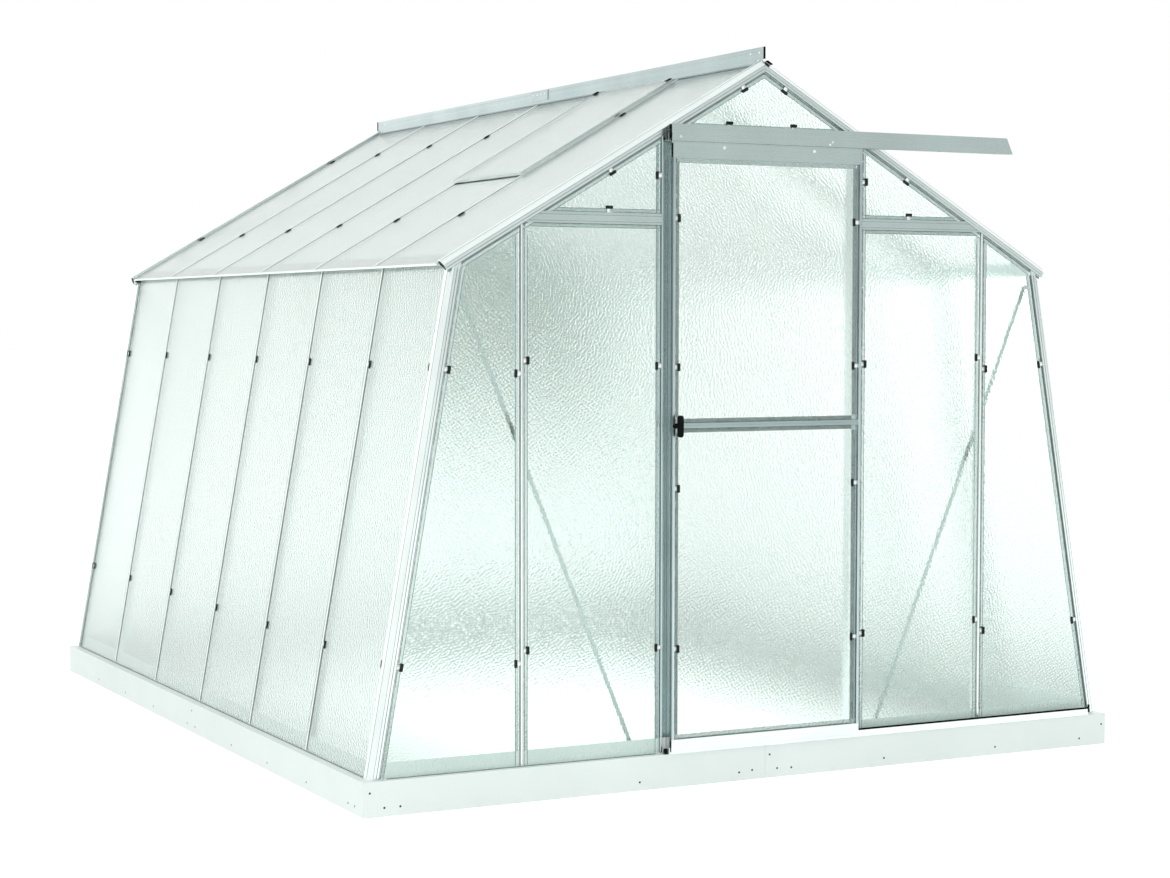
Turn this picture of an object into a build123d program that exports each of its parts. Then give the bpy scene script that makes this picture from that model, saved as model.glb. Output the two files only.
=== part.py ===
from build123d import *
from math import atan2, cos, sin, tan
import os

# Aluminium greenhouse with leaning side walls, stippled glass and one sliding door.
# Millimetres. X runs along the front gable, Y from the front gable to the rear one, Z up.
# The origin is the centre of the base, at ground level.

# House, measured to the seats of its glass
bay_pitch = 610.0
bay_count = 6
base_height = 120.0
base_side_ledge = 41.0
base_end_ledge = 33.0
wall_foot_half_width = 1524.0
eave_half_width = 1216.0
eave_height = 1872.0
eave_overhang = 50.0
ridge_height = 2580.0

# Fits
seat_gap = 0.3
joint_gap = 0.5
running_gap = 5.0
bore_gap = 0.05
cut_margin = 1.0

# Glazing bars
skin = 2.0
seat_half_width = 24.0
neck_width = 4.0
head_width = 8.0
head_depth = 4.0
head_chamfer = 2.0
nose_height = 8.0
bar_depth = 30.0
channel_half_width = 8.0
channel_depth = 10.0
channel_lip = 4.5

# Glass
glass_thickness = 4.0
glass_edge_gap = 1.0
glass_side_gap = 7.5

# Corner posts and rafters
edge_face = 24.0
edge_stand = 8.0
edge_reach = 15.0
edge_chamfer = 18.0
edge_depth = 31.0
edge_seat = 20.0
edge_groove_width = 1.6
edge_groove_depth = 1.0
edge_groove_share = 0.5

# Base rails and sills
base_depth = 70.0
base_foot = 45.0
base_skin = 2.5
base_lip = 12.0
splice_length = 120.0
splice_height = 90.0
sill_rise = 55.0
sill_foot = 42.0
sill_skin = 2.5

# Eaves and ridge
eave_leg = 40.0
eave_seat = 22.0
eave_skin = 2.5
eave_lip = 5.0
ridge_leg = 45.0
ridge_skin = 2.5
fin_height = 63.0
wing_rise = 5.0
wing_length = 12.0
ridge_splice_length = 160.0

# Gables
door_post_half_spacing = 417.0
outer_post_half_spacing = 967.0
jamb_reach = 39.0
jamb_depth = 38.0
gable_rail_share = 0.174
gable_rail_face = 40.0
gable_rail_seat = 14.0
gable_rail_stand = 8.0
header_drop = 290.0
header_face = 55.0
brace_width = 15.0
brace_skin = 2.5
brace_foot_reach = 107.0
brace_foot_drop = 10.0
brace_head_drop = 82.0
brace_lug = 14.0

# Door tracks
track_setback = 20.0
track_depth = 26.0
track_height = 60.0
track_skin = 2.0
track_start = -402.0
track_end = 1076.0
track_end_slant = 28.0
runner_reach = 9.0
runner_rise = 5.0
guide_height = 24.0
guide_reach = 17.0
guide_end_gap = 48.0

# Sliding door
door_width = 792.0
door_thickness = 16.0
door_setback = 28.0
door_stile_face = 10.0
door_stile_seat = 21.0
door_rail_seat = 16.0
door_bottom = 125.0
door_bottom_rail = 47.0
door_middle_height = 1279.0
door_middle_rail = 18.0
door_top_rail = 54.0
roller_radius = 11.0
roller_width = 8.0
roller_spacing = 380.0
roller_groove = 2.0
roller_groove_floor = 3.0
hanger_width = 40.0
hanger_skin = 2.5
axle_radius = 3.0
handle_width = 21.0
handle_inset = 22.0
handle_height = 78.0
handle_thickness = 11.0
handle_stand = 12.0
handle_drop = 1.0
latch_radius = 5.0

# Roof vent
vent_bay = 1
vent_length = 745.0
vent_ridge_gap = 30.0
vent_member = 18.0
vent_depth = 12.0
vent_skin = 2.0
vent_overhang = 3.0

# Directions and lines that everything is placed on, for the right half of the house.
half_length = bay_pitch * bay_count / 2
base_half_width = wall_foot_half_width + base_side_ledge
base_half_length = half_length + base_end_ledge
gable_seat = half_length
lean = atan2(wall_foot_half_width - eave_half_width, eave_height - base_height)
pitch = atan2(ridge_height - eave_height, eave_half_width)
up = Vector(0, 0, 1)
ahead = Vector(0, 1, 0)
gable_out = Vector(0, -1, 0)
wall_up = Vector(-sin(lean), 0, cos(lean))
wall_out = Vector(cos(lean), 0, sin(lean))
roof_up = Vector(-cos(pitch), 0, sin(pitch))
roof_out = Vector(sin(pitch), 0, cos(pitch))
wall_foot = Vector(wall_foot_half_width, 0, base_height)
eave_corner = Vector(eave_half_width, 0, eave_height)
ridge_seat = Vector(0, 0, ridge_height)
roof_tip = eave_corner - roof_up * eave_overhang
roof_length = (ridge_seat - roof_tip).length
wall_length = (eave_corner - wall_foot).length
mitre = (wall_up * -1 - roof_up).normalized()
reach = 8000.0


def wall_point(depth, rise=0.0):
    """A point that stands depth outside the wall glass's seat, rise up the wall."""
    return wall_foot + wall_out * depth + wall_up * rise


def roof_point(depth, climb=0.0):
    """A point that stands depth outside the roof glass's seat, climb up from the eave tip."""
    return roof_tip + roof_out * depth + roof_up * climb


def meet(first, along, second, across):
    """Where two lines in the X-Z plane cross."""
    apart = second - first
    turn = along.X * across.Z - along.Z * across.X
    return first + along * ((apart.X * across.Z - apart.Z * across.X) / turn)


def leg(x0, x1, y0, y1):
    """One flat leg of an extruded section."""
    return Pos((x0 + x1) / 2, (y0 + y1) / 2) * Rectangle(x1 - x0, y1 - y0)


def strip(start, along, length, out, thickness):
    """One leg of a section drawn in the X-Z plane."""
    end = start + along * length
    corners = [start, end, end + out * thickness, start + out * thickness]
    return Polygon(*[(corner.X, corner.Z) for corner in corners], align=None)


def run(section, start, end, outward):
    """Extrude a section from start to end, with the section's Y turned outward."""
    along = (end - start).normalized()
    plane = Plane(origin=start, x_dir=outward.cross(along), z_dir=along)
    return extrude(plane * section, amount=(end - start).length)


def cut_beyond(part, origin, direction):
    """Take away all that lies past a plane, on the side that direction points to."""
    block = Box(reach, reach, reach, align=(Align.CENTER, Align.CENTER, Align.MIN))
    return part - Plane(origin=origin, z_dir=direction) * block


def left_of(part):
    """The same piece on the left half of the house."""
    return mirror(part, about=Plane.YZ)


def rear_of(part):
    """The same piece on the rear gable."""
    return mirror(part, about=Plane.XZ)


def both_sides(parts):
    """Pieces of the right half and their mirror images."""
    return parts + [left_of(part) for part in parts]


def save(name, *parts):
    """Write one node from its solids."""
    solids = [solid for part in parts for solid in part.solids()]
    shape = solids[0] if len(solids) == 1 else Compound(solids)
    export_step(shape, f"parts/{name}.step")


def nose_section():
    """The bulb that stands out between two panes, for the clips to hook on."""
    neck = leg(-neck_width / 2, neck_width / 2, -skin, nose_height - head_depth)
    half = head_width / 2
    brow = half - head_chamfer
    head = Polygon((-half, nose_height - head_depth), (half, nose_height - head_depth),
                   (half, nose_height - head_chamfer), (brow, nose_height),
                   (-brow, nose_height), (-half, nose_height - head_chamfer), align=None)
    return neck + head


def body_section():
    """The glass seat of a bar, its web and its inner bolt channel."""
    seat = leg(-seat_half_width, seat_half_width, -skin, 0)
    web = leg(-skin / 2, skin / 2, -bar_depth + channel_depth, 0)
    top = -bar_depth + channel_depth
    roof = leg(-channel_half_width, channel_half_width, top - skin, top)
    section = seat + web + roof
    for side in (-1, 1):
        outer = side * channel_half_width
        inner = outer - side * skin
        section += leg(min(outer, inner), max(outer, inner), -bar_depth, top)
        tip = outer - side * channel_lip
        section += leg(min(outer, tip), max(outer, tip), -bar_depth, -bar_depth + skin)
    return section


def edge_tube_section():
    """The tube of a corner post or rafter, with the seat for the side or roof glass.

    X is outward from the wall or roof, Y outward from the gable. The outer corner of the
    tube is cut off at a slant, and a narrow groove runs along its front face.
    """
    brow = edge_reach - edge_chamfer
    shoulder = edge_stand - edge_chamfer
    shape = Polygon((-edge_face, -skin), (-skin, -edge_depth), (edge_reach, -edge_depth),
                    (edge_reach, shoulder), (brow, edge_stand), (-edge_face, edge_stand),
                    align=None)
    tube = shape - offset(shape, amount=-skin, kind=Kind.INTERSECTION)
    seat = leg(-skin, 0, -edge_depth - edge_seat, -edge_depth + skin)
    middle = -edge_face + edge_groove_share * (edge_face + brow)
    groove = leg(middle - edge_groove_width / 2, middle + edge_groove_width / 2,
                 edge_stand - edge_groove_depth, edge_stand)
    return tube + seat - groove


def edge_seat_section():
    """The flange of a corner post or rafter that the gable glass lies on."""
    return leg(-edge_face - edge_seat, -edge_face + skin, -skin, 0)


tube_edge = -edge_face
flange_edge = -edge_face - edge_seat
side_limit = gable_seat - edge_depth - edge_seat
sill_top = base_height + sill_rise
header_height = ridge_height - header_drop
gable_rail_height = eave_height + gable_rail_share * (ridge_height - eave_height)
guide_end = wall_foot_half_width - guide_end_gap
fin_foot = ridge_height + edge_reach / cos(pitch)
frame_foot = base_height + sill_skin + seat_gap


def base_section():
    """Folded channel of the base: X runs inward, Y up."""
    web = leg(0, base_skin, 0, base_height)
    top = leg(0, base_depth, base_height - base_skin, base_height)
    foot = leg(0, base_foot, 0, base_skin)
    lip = leg(base_depth - base_skin, base_depth, base_height - base_lip, base_height)
    return web + top + foot + lip


def make_base():
    """Four mitred sides, each of two halves with a joint plate inside."""
    corner = Vector(base_half_width, base_half_length, 0)
    plate = leg(base_skin + seat_gap, 2 * base_skin + seat_gap,
                base_skin + seat_gap, base_skin + seat_gap + splice_height)
    front_left = Vector(-corner.X, -corner.Y, 0)
    front_right = Vector(corner.X, -corner.Y, 0)
    front = run(base_section(), front_left, front_right, up)
    for side in (-1, 1):
        point = Vector(side * (corner.X - seat_gap / 2), -corner.Y, 0)
        front = cut_beyond(front, point, Vector(side, 1, 0))
    half = cut_beyond(front, Vector(joint_gap / 2, 0, 0), Vector(-1, 0, 0))
    front = [half, left_of(half)]
    back_right = Vector(corner.X, corner.Y, 0)
    right = run(base_section(), front_right, back_right, up)
    for end in (-1, 1):
        point = Vector(corner.X, end * (corner.Y - seat_gap / 2), 0)
        right = cut_beyond(right, point, Vector(-1, end, 0))
    half = cut_beyond(right, Vector(0, joint_gap / 2, 0), Vector(0, -1, 0))
    right = [half, rear_of(half)]
    save("base_front", *front)
    save("base_rear", *[rear_of(part) for part in front])
    save("base_right", *right)
    save("base_left", *[left_of(part) for part in right])
    across = Vector(splice_length / 2, 0, 0)
    front_plate = run(plate, Vector(0, -corner.Y, 0) - across, Vector(0, -corner.Y, 0) + across, up)
    along = Vector(0, splice_length / 2, 0)
    side_plate = run(plate, Vector(corner.X, 0, 0) - along, Vector(corner.X, 0, 0) + along, up)
    save("base_joint_plates", front_plate, rear_of(front_plate), side_plate, left_of(side_plate))


def sill_section(tilt):
    """Angle that stands on the base behind the foot of the glass: X runs inward, Y up."""
    slope = tan(tilt)
    thick = sill_skin / cos(tilt)
    stand = Polygon((0, 0), (thick, 0), (thick + sill_rise * slope, sill_rise),
                    (sill_rise * slope, sill_rise), align=None)
    return stand + leg(thick / 2, sill_foot, 0, sill_skin)


def make_sills():
    """The sills, which end at the seats of the corner posts."""
    start = wall_foot - ahead * (side_limit - seat_gap)
    end = wall_foot + ahead * (side_limit - seat_gap)
    right = run(sill_section(lean), start, end, up)
    save("sills_side", right, left_of(right))
    start = Vector(-base_half_width, -gable_seat, base_height)
    end = Vector(base_half_width, -gable_seat, base_height)
    front = run(sill_section(0), start, end, up)
    limit = wall_point(flange_edge - seat_gap)
    front = cut_beyond(front, limit, wall_out)
    front = cut_beyond(front, Vector(-limit.X, 0, limit.Z), Vector(-wall_out.X, 0, wall_out.Z))
    inner = wall_foot.X - sill_foot - seat_gap
    for side in (-1, 1):
        front = cut_beyond(front, Vector(side * inner, 0, 0), Vector(side, 0, 0))
    save("sill_front", front)
    save("sill_rear", rear_of(front))


def seat_notch(start, end, outward, thickness):
    """The slot in a bar's end where it straddles a sill, an eave or a ridge leg."""
    wide = seat_half_width + cut_margin
    return run(leg(-wide, wide, -thickness - seat_gap, seat_gap), start, end, outward)


def wall_bar(y):
    """One upright glazing bar of the right wall."""
    shift = Vector(0, y, 0)
    start = wall_point(0) + shift
    end = eave_corner + shift
    body = run(body_section(), start, end, wall_out)
    body = cut_beyond(body, end + mitre * (seat_gap / 2), mitre * -1)
    bar = body + run(nose_section(), start, end, wall_out)
    sill_slot = wall_foot + shift + wall_up * ((sill_rise + seat_gap) / cos(lean))
    bar -= seat_notch(start - wall_up * sill_skin, sill_slot, wall_out, sill_skin)
    eave_slot = eave_leg + seat_gap
    bar -= seat_notch(end - wall_up * eave_slot, end + wall_up * eave_seat, wall_out, eave_skin)
    bar = cut_beyond(bar, roof_point(-eave_skin - seat_gap) + shift, roof_out)
    return cut_beyond(bar, Vector(0, 0, frame_foot), up * -1)


def roof_bar(y):
    """One sloping glazing bar of the right roof."""
    shift = Vector(0, y, 0)
    tip = roof_point(0) + shift
    top = ridge_seat + shift
    body = run(body_section(), tip, top, roof_out)
    body = cut_beyond(body, eave_corner + shift - mitre * (seat_gap / 2), mitre)
    body = cut_beyond(body, Vector(joint_gap / 2, 0, 0), Vector(-1, 0, 0))
    nose_start = tip + roof_up * (skin + seat_gap)
    nose_end = top - roof_up * (wing_length + seat_gap)
    bar = body + run(nose_section(), nose_start, nose_end, roof_out)
    eave_slot = eave_overhang + eave_seat + seat_gap
    bar -= seat_notch(tip, tip + roof_up * eave_slot, roof_out, eave_skin)
    ridge_slot = ridge_leg + seat_gap
    bar -= seat_notch(top - roof_up * ridge_slot, top + roof_up * ridge_leg, roof_out, ridge_skin)
    return bar


bar_places = [bay_pitch * (number - bay_count / 2) for number in range(1, bay_count)]


def make_bars():
    """Five bars in each wall and each slope."""
    wall = [wall_bar(y) for y in bar_places]
    save("wall_bars_right", *wall)
    save("wall_bars_left", *[left_of(bar) for bar in wall])
    roof = [roof_bar(y) for y in bar_places]
    save("roof_bars_right", *roof)
    save("roof_bars_left", *[left_of(bar) for bar in roof])


def make_eaves():
    """Eave rails with a leg behind the wall glass and a seat with a lip for the roof glass."""
    section = strip(eave_corner, wall_up * -1, eave_leg, wall_out * -1, eave_skin)
    section += strip(roof_point(0), roof_up, eave_overhang + eave_seat, roof_out * -1, eave_skin)
    section += strip(roof_point(-eave_skin), roof_up, skin, roof_out, eave_skin + eave_lip)
    rail = extrude(Plane.XZ * section, amount=side_limit - seat_gap, both=True)
    save("eave_right", rail)
    save("eave_left", left_of(rail))


def make_ridge():
    """Ridge in two halves: legs under the glass, wings over it and a tall fin."""
    fin_half = ridge_skin / 2
    wing_start = Vector(0, 0, ridge_height + wing_rise / cos(pitch))
    right = strip(ridge_seat, roof_up * -1, ridge_leg, roof_out * -1, ridge_skin)
    right += strip(wing_start, roof_up * -1, wing_length, roof_out, skin)
    stem = leg(-fin_half, fin_half, ridge_height - ridge_skin, ridge_height + fin_height)
    section = stem + right + mirror(right, about=Plane.YZ)
    span = side_limit - seat_gap
    ridge = extrude(Plane.XZ * section, amount=span, both=True)
    fin = leg(-fin_half, fin_half, fin_foot + seat_gap, ridge_height + fin_height)
    ridge += extrude(Plane.XZ * fin, amount=half_length, both=True)
    half = cut_beyond(ridge, Vector(0, joint_gap / 2, 0), Vector(0, -1, 0))
    save("ridge", half, rear_of(half))
    plate = leg(fin_half + seat_gap, fin_half + seat_gap + skin,
                fin_foot + skin, ridge_height + fin_height - skin)
    right = extrude(Plane.XZ * plate, amount=ridge_splice_length / 2, both=True)
    save("ridge_joint_plates", right, left_of(right))


def make_corner_posts():
    """Corner posts, which stand on the base and carry the rafters."""
    shift = Vector(0, -gable_seat, 0)
    top = wall_point(0, wall_length + eave_overhang) + shift
    foot = wall_point(0, -eave_overhang) + shift
    tube = run(edge_tube_section(), top, foot, gable_out)
    tube = cut_beyond(tube, roof_point(tube_edge - seat_gap), roof_out)
    seat = run(edge_seat_section(), top, foot, gable_out)
    seat = cut_beyond(seat, eave_corner + mitre * (seat_gap / 2), mitre * -1)
    seat = cut_beyond(seat, roof_point(tube_edge - seat_gap), roof_out)
    post = cut_beyond(tube + seat, Vector(0, 0, base_height), up * -1)
    posts = [post, rear_of(post)]
    save("corner_posts_right", *posts)
    save("corner_posts_left", *[left_of(part) for part in posts])


def make_rafters():
    """Gable rafters of the same section, from the ridge to the eave tip."""
    shift = Vector(0, -gable_seat, 0)
    top = ridge_seat + roof_up * ridge_leg + shift
    tip = roof_point(0) + shift
    tube = run(edge_tube_section(), top, tip, gable_out)
    seat = run(edge_seat_section(), top, tip, gable_out)
    seat = cut_beyond(seat, eave_corner - mitre * (seat_gap / 2), mitre)
    rafter = cut_beyond(tube + seat, Vector(joint_gap / 2, 0, 0), Vector(-1, 0, 0))
    pair = both_sides([rafter])
    save("rafters_front", *pair)
    save("rafters_rear", *[rear_of(part) for part in pair])


def trimmed(part, roof_depth):
    """Cut a gable piece under both rafters."""
    edge = roof_point(roof_depth - seat_gap)
    part = cut_beyond(part, edge, roof_out)
    return cut_beyond(part, Vector(-edge.X, 0, edge.Z), Vector(-roof_out.X, 0, roof_out.Z))


def gable_upright(x, body, nose):
    """An upright of the front gable that straddles the sill and ends under the rafter."""
    foot = Vector(x, -gable_seat, base_height)
    top = Vector(x, -gable_seat, ridge_height)
    post = trimmed(run(body, foot, top, gable_out), flange_edge)
    post += trimmed(run(nose, foot, top, gable_out), tube_edge)
    wide = jamb_reach + seat_half_width
    slot = leg(-wide, wide, -sill_skin - seat_gap, seat_gap)
    slot_top = Vector(x, -gable_seat, sill_top + seat_gap)
    post -= run(slot, foot, slot_top, gable_out)
    head = run(slot, slot_top, top, gable_out)
    post -= head - trimmed(head, flange_edge)
    return cut_beyond(post, Vector(0, 0, frame_foot), up * -1)


def door_post_body(side):
    """Seat for the glass and the box of the jamb, drawn for a post on one side of the door."""
    tube = leg(-skin, jamb_reach, -jamb_depth, 0)
    tube -= leg(0, jamb_reach - skin, -jamb_depth + skin, -skin)
    section = tube + leg(-seat_half_width, 0, -skin, 0)
    return section if side > 0 else mirror(section, about=Plane.YZ)


def make_posts():
    """Uprights of both gables."""
    outer = gable_upright(outer_post_half_spacing, body_section(), nose_section())
    save("posts_front", outer, left_of(outer))
    inner = gable_upright(door_post_half_spacing, door_post_body(1), nose_section())
    save("door_posts", inner, left_of(inner))
    middle = gable_upright(0, body_section(), nose_section())
    second = gable_upright(door_post_half_spacing, body_section(), nose_section())
    rear = both_sides([outer, second]) + [middle]
    save("posts_rear", *[rear_of(part) for part in rear])


def gable_rail(left, right, left_seat, right_seat):
    """A level rail of the front gable between two uprights, with seats above and below."""
    def piece(x0, x1, low, high, back, front):
        shape = leg(x0, x1, low, high)
        face = extrude(Plane.XZ.offset(gable_seat + back) * shape, amount=front - back)
        return face
    low = gable_rail_height
    high = gable_rail_height + gable_rail_face
    face = piece(left, right, low, high, seat_gap, gable_rail_stand)
    face -= piece(left - cut_margin, right + cut_margin, low + skin, high - skin,
                  0, gable_rail_stand - skin)
    face = trimmed(face, tube_edge)
    seat = piece(left_seat, right_seat, low - gable_rail_seat, high + gable_rail_seat, -skin, 0)
    seat = trimmed(seat, flange_edge)
    rib = piece(left_seat, right_seat, low, high, -skin, seat_gap)
    hollow = piece(left_seat, right_seat, low + skin, high - skin, -skin, seat_gap)
    return face + seat + trimmed(rib - hollow, flange_edge)


def make_gable_rails():
    """Level rails beside the door, and across the rear gable."""
    nose = head_width / 2 + seat_gap
    seat = seat_half_width + seat_gap
    right = gable_rail(door_post_half_spacing + nose, outer_post_half_spacing - nose,
                       door_post_half_spacing + seat, outer_post_half_spacing - seat)
    save("rails_front", right, left_of(right))
    middle = gable_rail(nose, door_post_half_spacing - nose, seat, door_post_half_spacing - seat)
    rear = both_sides([right, middle])
    save("rails_rear", *[rear_of(part) for part in rear])


def make_header():
    """Cross beam over the doorway, which carries the door track and the top pane."""
    front = track_setback - seat_gap
    low = header_height
    high = header_height + header_face
    half = door_post_half_spacing - head_width / 2 - seat_gap
    seat_half = door_post_half_spacing - jamb_reach - seat_gap
    beam = extrude(Plane.XZ.offset(gable_seat + seat_gap) * leg(-half, half, low, high),
                   amount=front - seat_gap)
    hollow = leg(-half - cut_margin, half + cut_margin, low + skin, high - skin)
    beam -= extrude(Plane.XZ.offset(gable_seat) * hollow, amount=front - skin)
    beam = trimmed(beam, tube_edge)
    seat = extrude(Plane.XZ.offset(gable_seat - skin) * leg(-seat_half, seat_half, low,
                                                            high + gable_rail_seat), amount=skin)
    link = leg(-seat_half, seat_half, low, high) - leg(-seat_half, seat_half, low + skin, high - skin)
    seat += extrude(Plane.XZ.offset(gable_seat - skin) * link, amount=skin + seat_gap)
    save("door_header", beam + trimmed(seat, flange_edge))


def make_braces():
    """Flat diagonal straps inside each gable, on short lugs at the sill and corner post."""
    plane = gable_seat - bar_depth - seat_gap - brace_skin
    foot = Vector(door_post_half_spacing + brace_foot_reach, 0, sill_top - brace_foot_drop)
    flange_middle = -edge_face - edge_seat / 2
    head = meet(wall_point(flange_middle), wall_up, Vector(0, 0, eave_height - brace_head_drop),
                Vector(1, 0, 0))
    along = (head - foot).normalized()
    across = along.cross(gable_out)
    start = foot - along * (brace_width / 2)
    strap = strip(start - across * (brace_width / 2), along,
                  (head - foot).length + brace_width, across, brace_width)
    brace = extrude(Plane.XZ.offset(plane) * strap, amount=brace_skin)
    for point, back in ((foot, sill_skin), (head, skin)):
        length = gable_seat - back - seat_gap - plane
        square = Pos(point.X, point.Z) * Rectangle(brace_lug, brace_lug)
        brace += extrude(Plane.XZ.offset(plane) * square, amount=length)
    pair = both_sides([brace])
    save("gable_braces", *pair, *[rear_of(part) for part in pair])


track_back = half_length + track_setback
track_low = header_height
track_top = track_low + track_height
track_front = track_back + track_depth


def make_tracks():
    """Top track: a hooded channel with an inner runner. Bottom track: a low guide angle."""
    back = leg(-track_back - track_skin, -track_back, track_low, track_top)
    hood = leg(-track_front, -track_back, track_top - track_skin, track_top)
    skirt = leg(-track_front, -track_front + track_skin, track_low, track_top)
    shelf = leg(-track_back - track_skin - runner_reach, -track_back, track_low, track_low + track_skin)
    runner_face = -track_back - track_skin - runner_reach
    bead = leg(runner_face, runner_face + track_skin, track_low, track_low + track_skin + runner_rise)
    section = back + hood + skirt + shelf + bead
    top = extrude(Plane(origin=(track_start, 0, 0), x_dir=(0, 1, 0), z_dir=(1, 0, 0)) * section,
                  amount=track_end - track_start)
    top = cut_beyond(top, Vector(track_end, 0, track_low), Vector(track_height, 0, track_end_slant))
    save("door_track", top)
    foot = leg(-track_back - guide_reach, -track_back, base_height, base_height + track_skin)
    stand = leg(-track_back - guide_reach, -track_back - guide_reach + track_skin,
                base_height, base_height + guide_height)
    guide = extrude(Plane(origin=(track_start, 0, 0), x_dir=(0, 1, 0), z_dir=(1, 0, 0)) * (foot + stand),
                    amount=guide_end - track_start)
    save("door_guide", guide)


door_back = half_length + door_setback
door_front = door_back + door_thickness
door_half = door_width / 2
door_top = track_low - running_gap - cut_margin
door_rail_low = door_top - door_top_rail
glass_back = door_back + skin + seat_gap


def door_slab(x0, x1, z0, z1, back, front):
    """A flat piece of the door between two depths."""
    return extrude(Plane.XZ.offset(back) * leg(x0, x1, z0, z1), amount=front - back)


def make_door():
    """Sliding leaf: two stiles, three rails and two panes laid on seats from the front."""
    inner = door_half - door_stile_face
    seat_edge = inner - door_stile_seat
    outside = door_half + cut_margin
    bottom_top = door_bottom + door_bottom_rail
    stile = door_slab(inner, door_half, bottom_top + seat_gap, door_rail_low - seat_gap,
                      door_back, door_front)
    stile -= door_slab(inner + skin, door_half - skin, bottom_top - cut_margin, door_rail_low + cut_margin,
                       door_back + skin, door_front - skin)
    stile += door_slab(seat_edge, inner + skin, bottom_top + seat_gap, door_rail_low - seat_gap,
                       door_back, door_back + skin)
    save("door_stiles", stile, left_of(stile))

    top = door_slab(-door_half, door_half, door_rail_low, door_top, door_back, door_front)
    top -= door_slab(-outside, outside, door_rail_low + skin, door_top - skin,
                     door_back + skin, door_front - skin)
    top += door_slab(-seat_edge + seat_gap, seat_edge - seat_gap, door_rail_low - door_rail_seat,
                     door_rail_low + skin, door_back, door_back + skin)
    save("door_top_rail", top)

    middle_top = door_middle_height + door_middle_rail
    middle = door_slab(-inner + seat_gap, inner - seat_gap, door_middle_height, middle_top,
                       door_back + skin + seat_gap, door_front)
    middle -= door_slab(-outside, outside, door_middle_height + skin, middle_top - skin,
                        door_back, door_front - skin)
    middle += door_slab(-seat_edge + seat_gap, seat_edge - seat_gap, door_middle_height - door_rail_seat,
                        middle_top + door_rail_seat, door_back, door_back + skin)
    link = door_slab(-seat_edge + seat_gap, seat_edge - seat_gap, door_middle_height, middle_top,
                     door_back, door_back + 2 * skin)
    link -= door_slab(-inner, inner, door_middle_height + skin, middle_top - skin,
                      door_back - cut_margin, door_front)
    save("door_middle_rail", middle + link)

    bottom = door_slab(-door_half, door_half, door_bottom, bottom_top, door_back, door_front)
    bottom -= door_slab(-outside, outside, door_bottom - cut_margin, bottom_top - skin,
                        door_back + skin, door_front - skin)
    bottom -= door_slab(-outside, outside, door_bottom - cut_margin,
                        base_height + track_skin + running_gap + cut_margin,
                        door_back - cut_margin, door_back + skin + cut_margin)
    bottom += door_slab(-seat_edge + seat_gap, seat_edge - seat_gap, bottom_top - skin,
                        bottom_top + door_rail_seat, door_back, door_back + skin)
    save("door_bottom_rail", bottom)

    pane_half = inner - glass_side_gap
    lower = door_slab(-pane_half, pane_half, bottom_top + glass_edge_gap,
                      door_middle_height - glass_edge_gap, glass_back, glass_back + glass_thickness)
    upper = door_slab(-pane_half, pane_half, middle_top + glass_edge_gap,
                      door_rail_low - glass_edge_gap, glass_back, glass_back + glass_thickness)
    save("door_glass", lower, upper)
    make_hangers()
    make_handle()


def make_hangers():
    """Hanger plates on the top rail, with a grooved roller on the runner and its axle."""
    runner_top = track_low + track_skin + runner_rise
    runner_middle = track_back + track_skin + runner_reach - track_skin / 2
    groove_radius = roller_radius - roller_groove
    centre = runner_top + groove_radius + seat_gap
    plate_back = runner_middle + roller_width / 2 + joint_gap
    hangers = []
    rollers = []
    for side in (-1, 1):
        x = side * roller_spacing / 2
        plate = door_slab(x - hanger_width / 2, x + hanger_width / 2, door_top - skin - seat_gap,
                          centre + roller_radius, plate_back, plate_back + hanger_skin)
        foot = door_slab(x - hanger_width / 2, x + hanger_width / 2, door_top + seat_gap,
                         door_top + seat_gap + skin, door_back + skin, plate_back + hanger_skin)
        hanger = cut_beyond(plate, Vector(0, 0, door_top + seat_gap), up * -1) + foot
        axle = Plane.XZ.offset(runner_middle - roller_width / 2) * Pos(x, centre) * Circle(axle_radius)
        hanger += extrude(axle, amount=roller_width + joint_gap + hanger_skin)
        hangers.append(hanger)
        bore = axle_radius + bore_gap
        floor = roller_groove_floor / 2
        profile = Polygon((bore, -roller_width / 2), (roller_radius, -roller_width / 2),
                          (roller_radius, -track_skin), (groove_radius, -floor),
                          (groove_radius, floor), (roller_radius, track_skin),
                          (roller_radius, roller_width / 2), (bore, roller_width / 2), align=None)
        wheel = revolve(Plane.XY * profile, axis=Axis.Y)
        rollers.append(Pos(x, -runner_middle, centre) * wheel)
    save("door_hangers", *hangers)
    save("door_rollers", *rollers)


def make_handle():
    """Oval pull beside the leading stile, carried by a latch pin that turns back to the stile."""
    x = -door_half + handle_inset
    neck_x = -door_half + door_stile_face / 2
    centre = door_middle_height + door_middle_rail / 2 - handle_drop
    start = door_front + seat_gap
    grip = Plane.XZ.offset(start + handle_stand) * Pos(x, centre)
    grip = extrude(grip * SlotOverall(handle_height, handle_width, rotation=90), amount=handle_thickness)
    neck = Plane.XZ.offset(start) * Pos(neck_x, centre) * Circle(latch_radius)
    neck_length = handle_stand + handle_thickness / 2
    pin_start = Vector(x, -(start + neck_length), centre)
    pin_end = Vector(-door_half, pin_start.Y, centre)
    handle = grip + extrude(neck, amount=neck_length) + run(Circle(latch_radius), pin_start, pin_end, up)
    save("door_handle", handle)


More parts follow.
